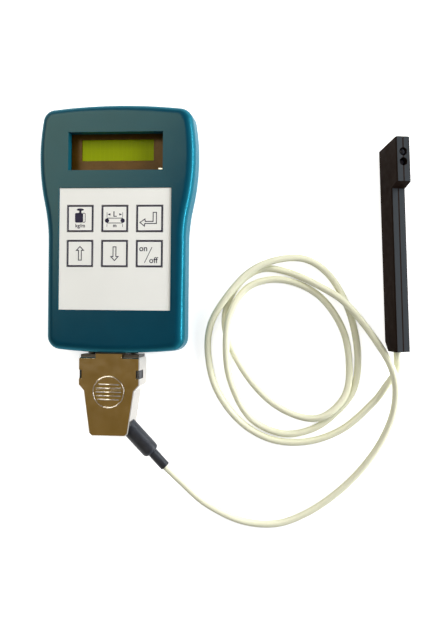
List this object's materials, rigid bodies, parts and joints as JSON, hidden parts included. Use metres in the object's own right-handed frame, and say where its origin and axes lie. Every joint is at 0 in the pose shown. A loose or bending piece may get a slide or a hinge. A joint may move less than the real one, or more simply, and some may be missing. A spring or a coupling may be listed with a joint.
{
  "type": "belt tension tester",
  "caption": "Handheld belt tension tester: waisted two-shell case with sunk display and membrane keypad, plugged sensor lead and hooked stick probe with optical eyes.",
  "frame": {"origin": "centre of the case's flat back face, on the table", "axes": "+Z out of the keypad face, +Y from the plug end to the display end, +X to the keypad's right"},
  "size_m": [0.2167, 0.2502, 0.025],
  "materials": {
    "case_plastic": "fine satin moulded plastic, grey teal",
    "screw_steel": "plain steel",
    "keypad_film": "white printed film with dark blue key frames",
    "keypad_spacer": "plain film",
    "circuit_film": "clear film with printed tracks",
    "dome_steel": "thin spring steel",
    "frame_metal": "dark stamped metal",
    "display_glass": "yellow-green reflective display",
    "board": "glass-fibre board, green",
    "black_plastic": "black moulded plastic",
    "pale_plastic": "pale moulded plastic",
    "can_metal": "drawn metal can",
    "battery_skin": "plain printed steel jacket",
    "shell_metal": "plated steel",
    "contact_brass": "gilt contacts",
    "hood_metallised": "nickel-plated plastic, slightly hazy",
    "relief_rubber": "black shrink tube",
    "lead_jacket": "ivory flexible jacket, satin",
    "probe_plastic": "black moulded plastic",
    "lens_clear": "clear round lens",
    "lens_dark": "dark filter lens"
  },
  "bodies": {
    "tester": {"front_shell": "case_plastic", "rear_shell": "case_plastic", "case_screws": "screw_steel", "board_screws": "screw_steel", "keypad_sheet": "keypad_film", "keypad_spacer": "keypad_spacer", "keypad_circuit": "circuit_film", "dome_mass": "dome_steel", "dome_length": "dome_steel", "dome_enter": "dome_steel", "dome_up": "dome_steel", "dome_down": "dome_steel", "dome_power": "dome_steel", "display_frame": "frame_metal", "display_glass": "display_glass", "display_board": "board", "main_board": "board", "display_header": "black_plastic", "controller_chip": "black_plastic", "battery_clip": "black_plastic", "socket_insert": "black_plastic", "display_spacers": "pale_plastic", "tail_connector": "pale_plastic", "crystal_can": "can_metal", "capacitors": "can_metal", "battery": "battery_skin", "socket_shell": "shell_metal", "jack_posts": "shell_metal", "socket_contacts": "contact_brass"},
    "battery_cover": {"battery_door": "case_plastic"},
    "sensor_lead": {"hood_front": "hood_metallised", "hood_rear": "hood_metallised", "hood_screws": "screw_steel", "plug_shell": "shell_metal", "plug_insert": "black_plastic", "plug_pins": "contact_brass", "strain_relief": "relief_rubber", "lead_sleeve": "relief_rubber", "sensor_cord": "lead_jacket", "probe_left": "probe_plastic", "probe_right": "probe_plastic", "probe_board": "board", "emitter": "lens_clear", "receiver": "lens_dark"},
    "left_jackscrew": {"jackscrew_left": "shell_metal"},
    "right_jackscrew": {"jackscrew_right": "shell_metal"},
    "mass_key": {"key_mass": "keypad_film"},
    "length_key": {"key_length": "keypad_film"},
    "enter_key": {"key_enter": "keypad_film"},
    "up_key": {"key_up": "keypad_film"},
    "down_key": {"key_down": "keypad_film"},
    "power_key": {"key_power": "keypad_film"}
  },
  "joints": [
    {"name": "battery_cover_lift", "type": "slide", "parent": "tester", "child": "battery_cover", "axis": [0, 0, -1], "range_m": [0, 0.03]},
    {"name": "plug_pull", "type": "slide", "parent": "tester", "child": "sensor_lead", "axis": [0, -1, 0], "range_m": [0, 0.015]},
    {"name": "left_jackscrew_turn", "type": "hinge", "parent": "sensor_lead", "child": "left_jackscrew", "pos_m": [-0.0165, -0.085, 0.013], "axis": [0, 1, 0], "continuous": true},
    {"name": "right_jackscrew_turn", "type": "hinge", "parent": "sensor_lead", "child": "right_jackscrew", "pos_m": [0.0085, -0.085, 0.013], "axis": [0, 1, 0], "continuous": true},
    {"name": "mass_key_press", "type": "slide", "parent": "tester", "child": "mass_key", "axis": [0, 0, -1], "range_m": [0, 0.00025], "stiffness_N_per_m": 1500, "deforming": ["dome_mass"]},
    {"name": "length_key_press", "type": "slide", "parent": "tester", "child": "length_key", "axis": [0, 0, -1], "range_m": [0, 0.00025], "stiffness_N_per_m": 1500, "deforming": ["dome_length"]},
    {"name": "enter_key_press", "type": "slide", "parent": "tester", "child": "enter_key", "axis": [0, 0, -1], "range_m": [0, 0.00025], "stiffness_N_per_m": 1500, "deforming": ["dome_enter"]},
    {"name": "up_key_press", "type": "slide", "parent": "tester", "child": "up_key", "axis": [0, 0, -1], "range_m": [0, 0.00025], "stiffness_N_per_m": 1500, "deforming": ["dome_up"]},
    {"name": "down_key_press", "type": "slide", "parent": "tester", "child": "down_key", "axis": [0, 0, -1], "range_m": [0, 0.00025], "stiffness_N_per_m": 1500, "deforming": ["dome_down"]},
    {"name": "power_key_press", "type": "slide", "parent": "tester", "child": "power_key", "axis": [0, 0, -1], "range_m": [0, 0.00025], "stiffness_N_per_m": 1500, "deforming": ["dome_power"]}
  ]
}
